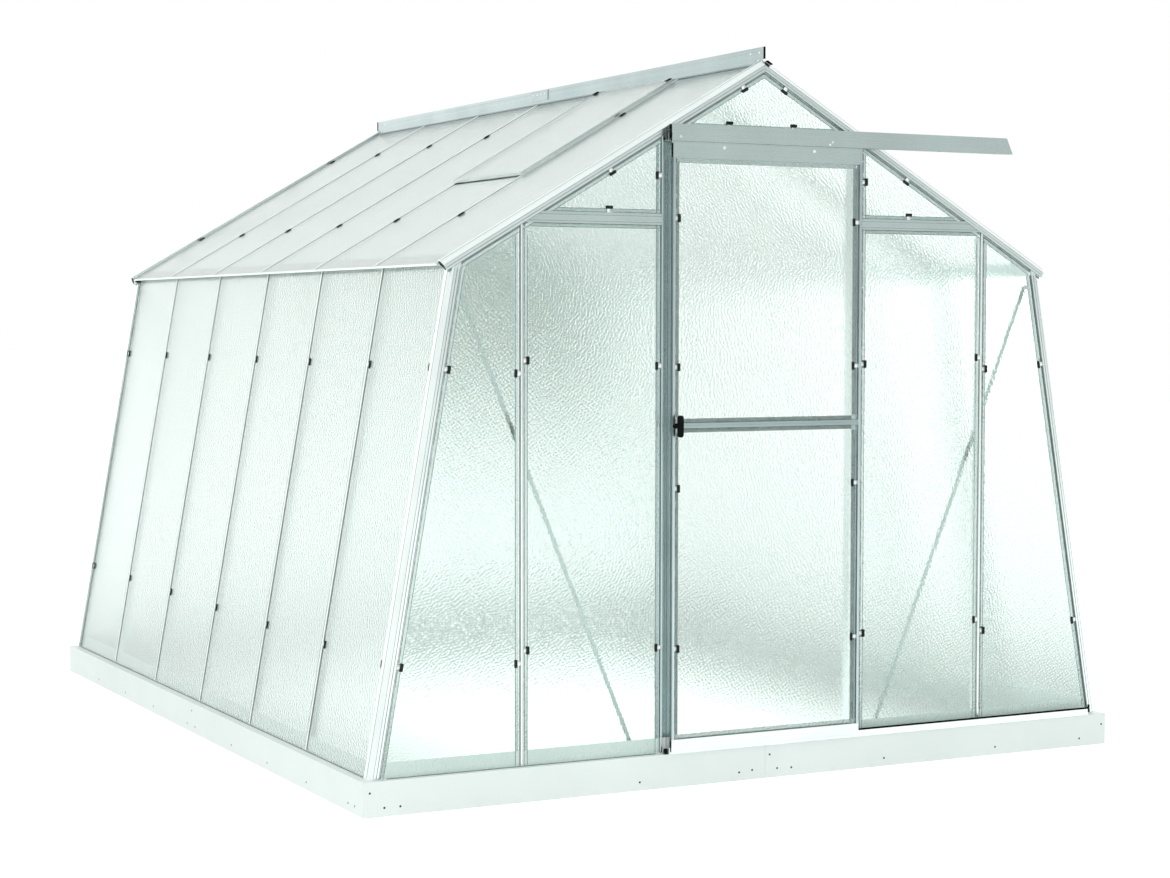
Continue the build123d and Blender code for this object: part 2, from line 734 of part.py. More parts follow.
def wall_pane(y0, y1):
    """A full-height pane of the right wall."""
    foot = Vector(0, 0, base_height + glass_edge_gap + glass_thickness * sin(lean))
    bottom = meet(wall_point(seat_gap), wall_up, foot, Vector(1, 0, 0))
    top = meet(wall_point(seat_gap), wall_up, roof_point(-eave_skin - glass_edge_gap), roof_up)
    centre = Vector(0, (y0 + y1) / 2, 0)
    shape = leg(-(y1 - y0) / 2, (y1 - y0) / 2, 0, glass_thickness)
    pane = run(shape, bottom + centre, top + centre, wall_out)
    return cut_beyond(pane, roof_point(-eave_skin - glass_edge_gap), roof_out)


def roof_pane(y0, y1, climb_end):
    """A pane of the right roof slope, from the eave lip up."""
    start = roof_point(seat_gap, skin + glass_edge_gap)
    end = roof_point(seat_gap, climb_end)
    centre = Vector(0, (y0 + y1) / 2, 0)
    shape = leg(-(y1 - y0) / 2, (y1 - y0) / 2, 0, glass_thickness)
    return run(shape, start + centre, end + centre, roof_out)


def bay_edges(number):
    """Where the glass of a bay starts and ends along the house."""
    edge = head_width / 2 + glass_side_gap
    low = bay_pitch * (number - bay_count / 2) + edge
    high = bay_pitch * (number + 1 - bay_count / 2) - edge
    limit = gable_seat - edge_depth - glass_side_gap
    return max(low, -limit), min(high, limit)


vent_top = roof_length - vent_ridge_gap
vent_bottom = vent_top - vent_length
vent_sill_climb = vent_bottom + vent_member


def make_glass():
    """Panes of the walls, slopes and gables."""
    walls = [wall_pane(*bay_edges(number)) for number in range(bay_count)]
    save("glass_wall_right", *walls)
    save("glass_wall_left", *[left_of(pane) for pane in walls])
    full = roof_length - ridge_skin - glass_edge_gap
    slope = [roof_pane(*bay_edges(number), full) for number in range(bay_count)]
    save("glass_roof_right", *slope)
    short = roof_pane(*bay_edges(vent_bay), vent_sill_climb - glass_edge_gap)
    left = [short if number == vent_bay else slope[number] for number in range(bay_count)]
    save("glass_roof_left", *[left_of(pane) for pane in left])
    make_gable_glass()


def gable_pane(x0, x1, z0, z1):
    """A pane of the front gable, trimmed to the rafters and corner posts."""
    shape = leg(x0, x1, z0, z1)
    pane = extrude(Plane.XZ.offset(gable_seat + seat_gap) * shape, amount=glass_thickness)
    pane = trimmed(pane, tube_edge - glass_side_gap + seat_gap)
    return cut_beyond(pane, wall_point(tube_edge - glass_side_gap), wall_out)


def make_gable_glass():
    """Panes of the two gables."""
    edge = head_width / 2 + glass_side_gap
    foot = base_height + glass_edge_gap
    rail_low = gable_rail_height - glass_edge_gap
    rail_high = gable_rail_height + gable_rail_face + glass_edge_gap
    side = [
        gable_pane(outer_post_half_spacing + edge, wall_foot_half_width, foot, ridge_height),
        gable_pane(door_post_half_spacing + edge, outer_post_half_spacing - edge, foot, rail_low),
        gable_pane(door_post_half_spacing + edge, outer_post_half_spacing - edge, rail_high, ridge_height),
    ]
    header_top = header_height + header_face + glass_edge_gap
    apex = gable_pane(-door_post_half_spacing, door_post_half_spacing, header_top, ridge_height)
    save("glass_gable_front", *both_sides(side), apex)
    rear = side + [
        gable_pane(edge, door_post_half_spacing - edge, foot, rail_low),
        gable_pane(edge, door_post_half_spacing - edge, rail_high, ridge_height),
    ]
    save("glass_gable_rear", *[rear_of(pane) for pane in both_sides(rear)])


def make_vent():
    """Closed roof vent on the left slope: a lid on the bars' noses, its pane and its sill."""
    middle = bay_pitch * (vent_bay + 0.5 - bay_count / 2)
    half = bay_pitch / 2 + vent_overhang
    low = nose_height + seat_gap
    high = low + vent_depth
    centre = Vector(0, middle, 0)
    start = roof_point(0, vent_bottom) + centre
    end = roof_point(0, vent_top) + centre
    lid = run(leg(-half, half, low, high), start, end, roof_out)
    opening = half - vent_member
    inside = run(leg(-opening, opening, low - cut_margin, high + cut_margin), start + roof_up * vent_member,
                 end - roof_up * vent_member, roof_out)
    rebate = half - vent_skin
    recess = run(leg(-rebate, rebate, high - vent_depth / 2, high + cut_margin), start + roof_up * vent_skin,
                 end - roof_up * vent_skin, roof_out)
    lid = lid - inside - recess
    save("vent_frame", left_of(lid))
    pane_half = rebate - glass_edge_gap
    seat = high - vent_depth / 2 + seat_gap
    pane = run(leg(-pane_half, pane_half, seat, seat + glass_thickness),
               start + roof_up * (vent_skin + glass_edge_gap),
               end - roof_up * (vent_skin + glass_edge_gap), roof_out)
    save("vent_glass", left_of(pane))
    seat_half = bay_pitch / 2 - seat_half_width - seat_gap
    stand_half = bay_pitch / 2 - head_width / 2 - seat_gap
    sill_start = roof_point(0, vent_sill_climb)
    sill = run(leg(-seat_half, seat_half, -skin, 0), sill_start + centre - roof_up * sill_foot / 2,
               sill_start + centre + roof_up * sill_foot / 2, roof_out)
    stand = run(leg(-stand_half, stand_half, seat_gap, low - 2 * seat_gap), sill_start + centre,
                sill_start + centre + roof_up * skin, roof_out)
    link = run(leg(-seat_half, seat_half, -skin, low - 2 * seat_gap), sill_start + centre,
               sill_start + centre + roof_up * skin, roof_out)
    save("vent_sill", left_of(sill + stand + link))


os.makedirs("parts", exist_ok=True)
make_base()
make_sills()
make_bars()
make_eaves()
make_ridge()
make_corner_posts()
make_rafters()
make_posts()
make_gable_rails()
make_header()
make_braces()
make_tracks()
make_door()
make_glass()
make_vent()
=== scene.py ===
from math import pi

import bpy
from mathutils import Matrix, Vector


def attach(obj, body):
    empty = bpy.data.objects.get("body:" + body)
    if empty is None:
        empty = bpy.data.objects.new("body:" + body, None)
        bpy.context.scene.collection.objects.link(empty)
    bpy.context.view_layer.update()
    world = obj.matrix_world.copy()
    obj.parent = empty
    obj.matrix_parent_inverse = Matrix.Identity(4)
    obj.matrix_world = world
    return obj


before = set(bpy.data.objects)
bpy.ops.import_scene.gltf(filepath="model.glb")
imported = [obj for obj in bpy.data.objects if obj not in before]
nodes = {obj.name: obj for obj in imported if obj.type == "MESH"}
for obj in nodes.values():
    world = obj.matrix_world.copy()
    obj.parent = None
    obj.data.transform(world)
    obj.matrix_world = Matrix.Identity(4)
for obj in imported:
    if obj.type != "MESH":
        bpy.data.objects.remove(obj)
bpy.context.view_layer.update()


# The base is a folded channel of pale coated sheet, mitred at the corners and joined in the
# middle of each side over a hidden plate. The sills on top of it have the same coat.

mint_white = (0.765, 0.795, 0.785, 1)
mint_shade = (0.715, 0.75, 0.74, 1)


def put(tree, kind, links=(), **settings):
    """Add a node, set its properties and give its inputs, as (input, source socket or value)."""
    node = tree.nodes.new(kind)
    for key, value in settings.items():
        setattr(node, key, value)
    for name, source in links:
        if isinstance(source, bpy.types.NodeSocket):
            tree.links.new(source, node.inputs[name])
        else:
            node.inputs[name].default_value = source
    return node


def math(tree, operation, *sources):
    """A sum, product or other result of numbers."""
    return put(tree, "ShaderNodeMath", enumerate(sources), operation=operation).outputs[0]


def new_group(name, inputs, outputs):
    """A shader node group with named sockets. Inputs are (name, kind, value)."""
    tree = bpy.data.node_groups.new(name, "ShaderNodeTree")
    for label, kind, value in inputs:
        socket = tree.interface.new_socket(
            name=label, in_out="INPUT", socket_type=f"NodeSocket{kind}")
        socket.default_value = value
    for label in outputs:
        tree.interface.new_socket(name=label, in_out="OUTPUT", socket_type="NodeSocketFloat")
    return tree, tree.nodes.new("NodeGroupInput"), tree.nodes.new("NodeGroupOutput")


def build_tone_group():
    """Uneven tone of rolled, coated or moulded stuff: slow patches and a fine grain."""
    tree, start, end = new_group(
        "uneven_tone",
        [("Patch Size", "Float", 0.3), ("Grain Size", "Float", 0.002)],
        ["Patches", "Grain"])
    place = put(tree, "ShaderNodeTexCoord").outputs["Object"]
    patch = put(tree, "ShaderNodeTexNoise", [
        ("Vector", place), ("Scale", math(tree, "DIVIDE", 1.0, start.outputs["Patch Size"])),
        ("Detail", 3.0), ("Roughness", 0.55)])
    grain = put(tree, "ShaderNodeTexNoise", [
        ("Vector", place), ("Scale", math(tree, "DIVIDE", 1.0, start.outputs["Grain Size"])),
        ("Detail", 2.0)])
    tree.links.new(patch.outputs["Fac"], end.inputs["Patches"])
    tree.links.new(grain.outputs["Fac"], end.inputs["Grain"])
    return tree


uneven_tone = build_tone_group()


def new_material(name):
    """An empty material with a Principled shader on its output."""
    material = bpy.data.materials.new(name)
    material.use_nodes = True
    tree = material.node_tree
    tree.nodes.clear()
    shader = tree.nodes.new("ShaderNodeBsdfPrincipled")
    output = put(tree, "ShaderNodeOutputMaterial", [("Surface", shader.outputs[0])])
    return material, tree, shader, output


def tone_between(tree, share, first, second):
    """A colour between two, by a mask."""
    node = put(tree, "ShaderNodeMix", [("Factor", share), (6, first), (7, second)],
               data_type="RGBA")
    return node.outputs[2]


def spread(tree, value, low, high):
    """The middle of a noise, stretched to run between two values."""
    return put(tree, "ShaderNodeMapRange", [
        ("Value", value), ("From Min", 0.3), ("From Max", 0.7), ("To Min", low), ("To Max", high),
    ]).outputs[0]


def dent(tree, shader, height, distance):
    """Bump on a shader from a height."""
    bump = put(tree, "ShaderNodeBump", [("Height", height), ("Distance", distance)])
    tree.links.new(bump.outputs[0], shader.inputs["Normal"])


def patchy_finish(name, tones, patch_size, grain_size, rough, grain_depth, **sockets):
    """An opaque finish between two tones, rougher and smoother by its grain."""
    material, tree, shader, output = new_material(name)
    tone = put(tree, "ShaderNodeGroup", node_tree=uneven_tone)
    tone.inputs["Patch Size"].default_value = patch_size
    tone.inputs["Grain Size"].default_value = grain_size
    share = spread(tree, tone.outputs["Patches"], 0.0, 1.0)
    tree.links.new(tone_between(tree, share, *tones), shader.inputs["Base Color"])
    tree.links.new(spread(tree, tone.outputs["Grain"], *rough), shader.inputs["Roughness"])
    if grain_depth:
        dent(tree, shader, tone.outputs["Grain"], grain_depth)
    for label, value in sockets.items():
        shader.inputs[label.replace("_", " ")].default_value = value
    return material


def dress(material, *names):
    """Give CAD nodes a material."""
    for name in names:
        mesh = nodes[name].data
        if not mesh.materials:
            mesh.materials.append(material)
        for number in range(len(mesh.materials)):
            mesh.materials[number] = material


sheet_finish = patchy_finish("coated_sheet", (mint_white, mint_shade), patch_size=0.35,
                             grain_size=0.004, rough=(0.42, 0.55), grain_depth=0.0002,
                             Metallic=0.15)
dress(sheet_finish, "base_front", "base_rear", "base_left", "base_right", "base_joint_plates",
      "sill_front", "sill_rear", "sills_side")


# The frame is mill-finish aluminium, pressed hot through a die. The die leaves faint straight
# lines along every bar, and the bare metal reflects the room softly.

# Apart from plain_tones, these tones are painted shade: darker copies of the same aluminium,
# standing in for the shade on the hood, rails and braces, the door posts and stiles, the ridge fin
# and, darkest, the door's middle rail.
plain_tones = ((0.82, 0.862, 0.852, 1), (0.69, 0.74, 0.735, 1))
shaded_grey_tones = ((0.60, 0.67, 0.66, 1), (0.52, 0.58, 0.57, 1))
shaded_jamb_tones = ((0.53, 0.60, 0.61, 1), (0.43, 0.50, 0.51, 1))
shaded_fin_tones = ((0.46, 0.53, 0.53, 1), (0.36, 0.42, 0.43, 1))
shaded_rail_tones = ((0.38, 0.45, 0.45, 1), (0.28, 0.35, 0.35, 1))
die_line_depth = 0.00003


def dot_product(tree, first, second):
    """The dot product of two vectors."""
    node = put(tree, "ShaderNodeVectorMath", [(0, first), (1, second)], operation="DOT_PRODUCT")
    return node.outputs["Value"]


def vector_math(tree, operation, *sources):
    """A sum, difference or other result of vectors."""
    return put(tree, "ShaderNodeVectorMath", enumerate(sources), operation=operation).outputs[0]


def scaled(tree, vector, factor):
    """A vector times a number."""
    node = put(tree, "ShaderNodeVectorMath", [(0, vector), ("Scale", factor)], operation="SCALE")
    return node.outputs[0]


def build_lines_group():
    """Die lines: noise drawn out along one direction, mirrored about the middle of the house."""
    tree, start, end = new_group(
        "die_lines",
        [("Along", "Vector", (0, 0, 1)), ("Line Width", "Float", 0.0025),
         ("Line Length", "Float", 2.5)],
        ["Lines"])
    place = put(tree, "ShaderNodeTexCoord").outputs["Object"]
    split = put(tree, "ShaderNodeSeparateXYZ", [("Vector", place)])
    folded = put(tree, "ShaderNodeCombineXYZ", [
        ("X", math(tree, "ABSOLUTE", split.outputs["X"])),
        ("Y", split.outputs["Y"]), ("Z", split.outputs["Z"])]).outputs[0]
    along = vector_math(tree, "NORMALIZE", start.outputs["Along"])
    lengthwise = scaled(tree, along, dot_product(tree, folded, along))
    crosswise = vector_math(tree, "SUBTRACT", folded, lengthwise)
    drawn = vector_math(
        tree, "ADD",
        scaled(tree, crosswise, math(tree, "DIVIDE", 1.0, start.outputs["Line Width"])),
        scaled(tree, lengthwise, math(tree, "DIVIDE", 1.0, start.outputs["Line Length"])))
    noise = put(tree, "ShaderNodeTexNoise", [("Vector", drawn), ("Scale", 1.0), ("Detail", 3.0)])
    tree.links.new(noise.outputs["Fac"], end.inputs["Lines"])
    return tree


die_lines = build_lines_group()


def drawn_aluminium(name, along, tones=plain_tones, lit_right_tone=None):
    """Mill-finish aluminium with die lines. A second tone, if given, is painted light right of the
    door.
    """
    material, tree, shader, output = new_material(name)
    lines = put(tree, "ShaderNodeGroup", node_tree=die_lines)
    lines.inputs["Along"].default_value = along
    tone = put(tree, "ShaderNodeGroup", node_tree=uneven_tone)
    tone.inputs["Patch Size"].default_value = 0.25
    mixed = math(tree, "MULTIPLY", lines.outputs["Lines"], tone.outputs["Patches"])
    share = put(tree, "ShaderNodeMapRange", [
        ("Value", mixed), ("From Min", 0.12), ("From Max", 0.42)]).outputs[0]
    metal_tone = tone_between(tree, share, *tones)
    if lit_right_tone:
        place = put(tree, "ShaderNodeTexCoord").outputs["Object"]
        across = put(tree, "ShaderNodeSeparateXYZ", [("Vector", place)]).outputs["X"]
        on_right = math(tree, "GREATER_THAN", across, 0.0)
        metal_tone = tone_between(tree, on_right, metal_tone, lit_right_tone)
    tree.links.new(metal_tone, shader.inputs["Base Color"])
    tree.links.new(spread(tree, lines.outputs["Lines"], 0.18, 0.32), shader.inputs["Roughness"])
    shader.inputs["Metallic"].default_value = 1.0
    dent(tree, shader, lines.outputs["Lines"], die_line_depth)
    return material


upright = (0, 0, 1)
level = (1, 0, 0)
lengthways = (0, 1, 0)
sloping = (-0.864, 0, 0.503)
leaning = (-0.170, 0, 0.985)
# The hood, rails, braces, door posts, stiles, ridge and middle rail take the darker tones, which
# are painted shade.
metal_hood = drawn_aluminium("aluminium_hood", level, shaded_grey_tones)
dress(drawn_aluminium("aluminium_upright", upright), "posts_front", "posts_rear", "door_hangers")
# The door posts are painted shade left of the door, and painted light right of it, in the plain
# light tone.
dress(drawn_aluminium("aluminium_jamb", upright, shaded_jamb_tones, plain_tones[0]), "door_posts")
dress(metal_hood, "door_header", "door_track", "door_top_rail", "rails_front", "rails_rear")
dress(drawn_aluminium("aluminium_brace", upright, shaded_grey_tones), "gable_braces")
dress(drawn_aluminium("aluminium_level", level), "door_guide", "door_bottom_rail", "vent_sill")
dress(drawn_aluminium("aluminium_long", lengthways), "eave_left", "eave_right")
dress(drawn_aluminium("aluminium_ridge", lengthways, shaded_fin_tones), "ridge", "ridge_joint_plates")
dress(drawn_aluminium("aluminium_slope", sloping),
      "roof_bars_left", "roof_bars_right", "rafters_front", "rafters_rear", "vent_frame")
dress(drawn_aluminium("aluminium_lean", leaning),
      "wall_bars_left", "wall_bars_right", "corner_posts_left", "corner_posts_right")
dress(drawn_aluminium("aluminium_stile", upright, shaded_jamb_tones), "door_stiles")
dress(drawn_aluminium("aluminium_door_rail", level, shaded_rail_tones), "door_middle_rail")


# Every pane is horticultural glass, rolled with a small stipple on one face. It passes the
# light, but blurs whatever stands more than a hand's width behind it.

glass_tint = (0.935, 0.975, 0.96, 1)
roof_tint = (0.94, 0.98, 0.965, 1)
# The door's panes get a lighter tint than the other panes: painted light, to brighten what shows
# through the door.
lit_door_tint = (0.975, 0.995, 0.985, 1)
dimple_size = 0.0085


def build_stipple_group():
    """The rolled stipple: shallow round dimples side by side, as a height."""
    tree, start, end = new_group(
        "stipple",
        [("Across", "Vector", (1, 0, 0)), ("Upward", "Vector", (0, 0, 1)),
         ("Dimple Size", "Float", dimple_size)],
        ["Height"])
    place = put(tree, "ShaderNodeTexCoord").outputs["Object"]
    on_pane = put(tree, "ShaderNodeCombineXYZ", [
        ("X", dot_product(tree, place, start.outputs["Across"])),
        ("Y", dot_product(tree, place, start.outputs["Upward"]))])
    dimples = put(tree, "ShaderNodeTexNoise", [
        ("Vector", on_pane.outputs[0]), ("Detail", 0.0),
        ("Scale", math(tree, "DIVIDE", 1.0, start.outputs["Dimple Size"]))],
        noise_dimensions="2D")
    tree.links.new(dimples.outputs["Fac"], end.inputs["Height"])
    return tree


stipple = build_stipple_group()


def stippled_glass(name, across, upward, rough, dimple_depth, tint=glass_tint):
    """Rolled glass that lets the light through to what stands behind it."""
    material, tree, shader, output = new_material(name)
    shader.inputs["Base Color"].default_value = tint
    shader.inputs["Transmission Weight"].default_value = 1.0
    shader.inputs["Roughness"].default_value = rough
    shader.inputs["IOR"].default_value = 1.5
    pebble = put(tree, "ShaderNodeGroup", node_tree=stipple)
    pebble.inputs["Across"].default_value = across
    pebble.inputs["Upward"].default_value = upward
    dent(tree, shader, pebble.outputs["Height"], dimple_depth)
    path = put(tree, "ShaderNodeLightPath")
    clear = put(tree, "ShaderNodeBsdfTransparent", [("Color", tint)])
    passing = math(tree, "MAXIMUM", path.outputs["Is Shadow Ray"], path.outputs["Is Diffuse Ray"])
    mix = put(tree, "ShaderNodeMixShader", [
        (0, passing), (1, shader.outputs[0]), (2, clear.outputs[0])])
    tree.links.new(mix.outputs[0], output.inputs["Surface"])
    return material


# Each pane's directions across and upward. Their lengths draw the dimples wider on the gables
# and walls, and take them along the slope of the walls and the roof.
gable_grid = ((0.8, 0, 0), (0, 0, 1))
wall_grid = ((0, 0.8, 0), (0, 0, 1.015))
roof_grid = ((0, 1, 0), (0, 0, 1.988))
gable_rough = 0.14
side_rough = 0.22
gable_dimples = 0.0028
wall_dimples = 0.0007
roof_dimples = 0.0004
gable_glass = stippled_glass("gable_glass", *gable_grid, gable_rough, gable_dimples)
door_pane_glass = stippled_glass(
    "door_pane_glass", *gable_grid, gable_rough, gable_dimples, lit_door_tint)
wall_glass = stippled_glass("wall_glass", *wall_grid, side_rough, wall_dimples)
roof_glass = stippled_glass("roof_glass", *roof_grid, side_rough, roof_dimples, roof_tint)
dress(gable_glass, "glass_gable_front", "glass_gable_rear")
dress(door_pane_glass, "door_glass")
dress(wall_glass, "glass_wall_left", "glass_wall_right")
dress(roof_glass, "glass_roof_left", "glass_roof_right", "vent_glass")


# Spring clips hold the glass. Each is a steel band that hooks over the bar's nose, with a black
# rubber cap that presses on the edge of the pane.

mm = 0.001
seat_y = -1.830
gable_out = Vector((0, -1, 0))
up = Vector((0, 0, 1))
house_right = Vector((1, 0, 0))
house_left = Vector((-1, 0, 0))
house_ahead = Vector((0, 1, 0))
as_it_is = Vector((1, 1, 1))
to_left = Vector((-1, 1, 1))
to_rear = Vector((1, -1, 1))
wall_foot = Vector((1.524, 0, 0.120))
eave_corner = Vector((1.216, 0, 1.872))
ridge_seat = Vector((0, 0, 2.580))
wall_up = (eave_corner - wall_foot).normalized()
wall_out = Vector((wall_up.z, 0, -wall_up.x))
roof_up = (ridge_seat - eave_corner).normalized()
roof_out = Vector((roof_up.z, 0, -roof_up.x))
bay = 0.61
bar_places = [bay * number for number in (-2, -1, 0, 1, 2)]


def new_shape_tree(name, sizes, result, objects=()):
    """A Geometry Nodes tree whose inputs are places, objects, named sizes and a finish."""
    tree = bpy.data.node_groups.new(name, "GeometryNodeTree")

    def socket(label, kind, way="INPUT"):
        return tree.interface.new_socket(
            name=label, in_out=way, socket_type=f"NodeSocket{kind}")

    socket("Places", "Geometry")
    for label in objects:
        socket(label, "Object")
    for label, value in sizes.items():
        socket(label, "Float").default_value = value
    socket("Finish", "Material")
    socket(result, "Geometry", "OUTPUT")
    return tree, tree.nodes.new("NodeGroupInput").outputs


def stand_on(tree, start, shape):
    """Put one shape on every place, turned by the place's own turn, and give it its finish."""
    turn = put(tree, "GeometryNodeInputNamedAttribute", [("Name", "turn")],
               data_type="FLOAT_VECTOR")
    rotation = put(tree, "FunctionNodeEulerToRotation", [("Euler", turn.outputs["Attribute"])])
    stood = put(tree, "GeometryNodeInstanceOnPoints", [
        ("Points", start["Places"]), ("Instance", shape), ("Rotation", rotation.outputs[0])])
    real = put(tree, "GeometryNodeRealizeInstances", [("Geometry", stood.outputs[0])])
    finished = put(tree, "GeometryNodeSetMaterial", [
        ("Geometry", real.outputs[0]), ("Material", start["Finish"])])
    put(tree, "NodeGroupOutput", [(0, finished.outputs[0])])


def build_cap_tree():
    """A rounded rubber cap with a crowned top on each place."""
    skirt_share = 0.7
    crown_scale = 0.78
    weld = 0.00005
    tree, start = new_shape_tree("clip_cap", {
        "Cap Length": 0.028, "Cap Width": 0.011, "Cap Height": 0.005, "Corner": 0.002,
        "Reach": 0.023, "Lift": 0.0044}, "Caps")
    outline = put(tree, "GeometryNodeCurvePrimitiveQuadrilateral", [
        ("Width", start["Cap Width"]), ("Height", start["Cap Length"])])
    rounded = put(tree, "GeometryNodeFilletCurve", [
        ("Curve", outline.outputs[0]), ("Radius", start["Corner"])])
    filled = put(tree, "GeometryNodeFillCurve", [("Curve", rounded.outputs[0])])
    skirt = put(tree, "GeometryNodeExtrudeMesh", [
        ("Mesh", filled.outputs[0]), ("Individual", False),
        ("Offset Scale", math(tree, "MULTIPLY", start["Cap Height"], skirt_share))])
    crown = put(tree, "GeometryNodeExtrudeMesh", [
        ("Mesh", skirt.outputs["Mesh"]), ("Selection", skirt.outputs["Top"]),
        ("Individual", False),
        ("Offset Scale", math(tree, "MULTIPLY", start["Cap Height"], 1 - skirt_share))])
    drawn_in = put(tree, "GeometryNodeScaleElements", [
        ("Geometry", crown.outputs["Mesh"]), ("Selection", crown.outputs["Top"]),
        ("Scale", crown_scale)])
    under = put(tree, "GeometryNodeFlipFaces", [("Mesh", filled.outputs[0])])
    closed = tree.nodes.new("GeometryNodeJoinGeometry")
    tree.links.new(drawn_in.outputs[0], closed.inputs[0])
    tree.links.new(under.outputs[0], closed.inputs[0])
    merged = put(tree, "GeometryNodeMergeByDistance", [
        ("Geometry", closed.outputs[0]), ("Distance", weld)])
    shift = put(tree, "ShaderNodeCombineXYZ", [("X", start["Reach"]), ("Z", start["Lift"])])
    placed = put(tree, "GeometryNodeTransform", [
        ("Geometry", merged.outputs[0]), ("Translation", shift.outputs[0])])
    stand_on(tree, start, placed.outputs[0])
    return tree


def build_band_tree():
    """A flat spring band bent along a path, on each place."""
    tree, start = new_shape_tree(
        "clip_band", {"Band Width": 0.016, "Band Thickness": 0.0008}, "Bands", ["Path"])
    path = put(tree, "GeometryNodeObjectInfo", [("Object", start["Path"])])
    line = put(tree, "GeometryNodeMeshToCurve", [("Mesh", path.outputs["Geometry"])])
    flat = put(tree, "GeometryNodeSetCurveNormal", [
        ("Curve", line.outputs[0]), ("Normal", (0, 1, 0))], mode="FREE")
    strip = put(tree, "GeometryNodeCurvePrimitiveQuadrilateral", [
        ("Width", start["Band Width"]), ("Height", start["Band Thickness"])])
    bent = put(tree, "GeometryNodeCurveToMesh", [
        ("Curve", flat.outputs[0]), ("Profile Curve", strip.outputs[0]), ("Fill Caps", True)])
    stand_on(tree, start, bent.outputs[0])
    return tree


def place_on(point, side, outward):
    """A place that faces outward, with its X axis turned to the given side."""
    side = side.normalized()
    turn = Matrix((side, outward.cross(side), outward)).transposed().to_euler()
    return point, turn


def add_piece(name, mesh, body):
    """Put a mesh in the scene as a piece that rides a body."""
    piece = bpy.data.objects.new(name, mesh)
    bpy.context.scene.collection.objects.link(piece)
    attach(piece, body)


def grown(name, tree, body, spots, inputs):
    """Run a tree over its spots, and keep the result as one plain mesh on a body."""
    places = [place_on(*spot) for spot in spots]
    mesh = bpy.data.meshes.new(name)
    mesh.from_pydata([point for point, turn in places], [], [])
    turns = mesh.attributes.new("turn", "FLOAT_VECTOR", "POINT")
    turns.data.foreach_set("vector", [angle for point, turn in places for angle in turn])
    host = bpy.data.objects.new(name + "_places", mesh)
    bpy.context.scene.collection.objects.link(host)
    modifier = host.modifiers.new("grow", "NODES")
    modifier.node_group = tree
    sockets = {item.name: item.identifier for item in tree.interface.items_tree}
    for label, value in inputs.items():
        modifier[sockets[label]] = value
    depsgraph = bpy.context.evaluated_depsgraph_get()
    plain = bpy.data.meshes.new_from_object(host.evaluated_get(depsgraph))
    bpy.data.objects.remove(host)
    add_piece(name, plain, body)


def flipped(spots, flip):
    """The same spots mirrored to the left half or the rear gable."""
    return [(point * flip, side * flip, outward * flip) for point, side, outward in spots]


def gable_point(x, z):
    """A point of the front gable glass's seat."""
    return Vector((x, seat_y, z))


def wall_point(y, height):
    """A point of the wall glass's seat at a height above ground."""
    return wall_foot + wall_up * ((height - wall_foot.z) / wall_up.z) + Vector((0, y, 0))


def roof_point(y, below_ridge):
    """A point of the roof glass's seat, measured down the slope from the ridge."""
    return ridge_seat - roof_up * below_ridge + Vector((0, y, 0))


tube_face = 24 * mm
tube_depth = 31 * mm
outer_post = 0.967
door_post = 0.417
stile_edge = 0.386
door_seat_y = -1.860
clip_heights = (1.50, 0.50)
roof_clips = (1.07, 0.30)
rafter_clips = (0.12, 0.738)
post_stagger = 0.022
on_bars = [(gable_point(door_post, 2.17), house_right, gable_out)]
for height in clip_heights:
    on_bars += [(gable_point(outer_post, height - post_stagger), house_right, gable_out),
                (gable_point(outer_post, height + post_stagger), house_left, gable_out),
                (gable_point(door_post, height), house_right, gable_out)]
on_bars += flipped(on_bars, to_rear)
for y in bar_places:
    on_bars += [(wall_point(y, height), -house_ahead, wall_out) for height in clip_heights]
    on_bars += [(roof_point(y, below), -house_ahead, roof_out) for below in roof_clips]
on_bars += flipped(on_bars, to_left)

on_edges = []
for height in clip_heights:
    edge = wall_point(0, height) - wall_out * tube_face
    on_edges.append((gable_point(edge.x, edge.z), -wall_out, gable_out))
for below in rafter_clips:
    edge = roof_point(0, below) - roof_out * tube_face
    on_edges.append((gable_point(edge.x, edge.z), -roof_out, gable_out))
on_edges += flipped(on_edges, to_rear)
tube_side = seat_y + tube_depth
for end in (-1, 1):
    for height in clip_heights:
        on_edges.append((wall_point(-end * tube_side, height), house_ahead * -end, wall_out))
    for below in roof_clips:
        on_edges.append((roof_point(-end * tube_side, below), house_ahead * -end, roof_out))
on_edges += flipped(on_edges, to_left)
on_rails = [(gable_point(x, 2.035), up, gable_out) for x in (-0.63, 0.63)]
on_edges += on_rails + flipped(on_rails, to_rear)

on_hood = [(gable_point(x, 2.345), up, gable_out) for x in (-0.146, 0.123)]
on_stiles = []
for height in (2.02, 1.495, 1.065, 0.495):
    for hand in (-1, 1):
        on_stiles.append((Vector((hand * stile_edge, door_seat_y, height)),
                          house_right * -hand, gable_out))

# Each kind of clip: the band's path in millimetres, how far out its cap sits, and its places.
clip_kinds = {
    "bars": ([(27, 4.9), (9.0, 4.9), (6.2, 5.4), (4.8, 6.6), (4.3, 7.9)],
             23, on_bars, "house"),
    "tubes": ([(23, 4.9), (4.0, 4.9), (1.8, 5.4), (0.9, 6.6), (0.5, 7.9)],
              18.5, on_edges, "house"),
    "hood": ([(23, 4.9), (8.4, 4.9), (6.2, 6.4), (5.8, 12.0), (5.8, 27.0)],
             18.5, on_hood, "house"),
    "stiles": ([(23, 4.9), (4.0, 4.9), (1.8, 5.6), (0.9, 7.5), (0.5, 10.5)],
               19, on_stiles, "door_leaf"),
}

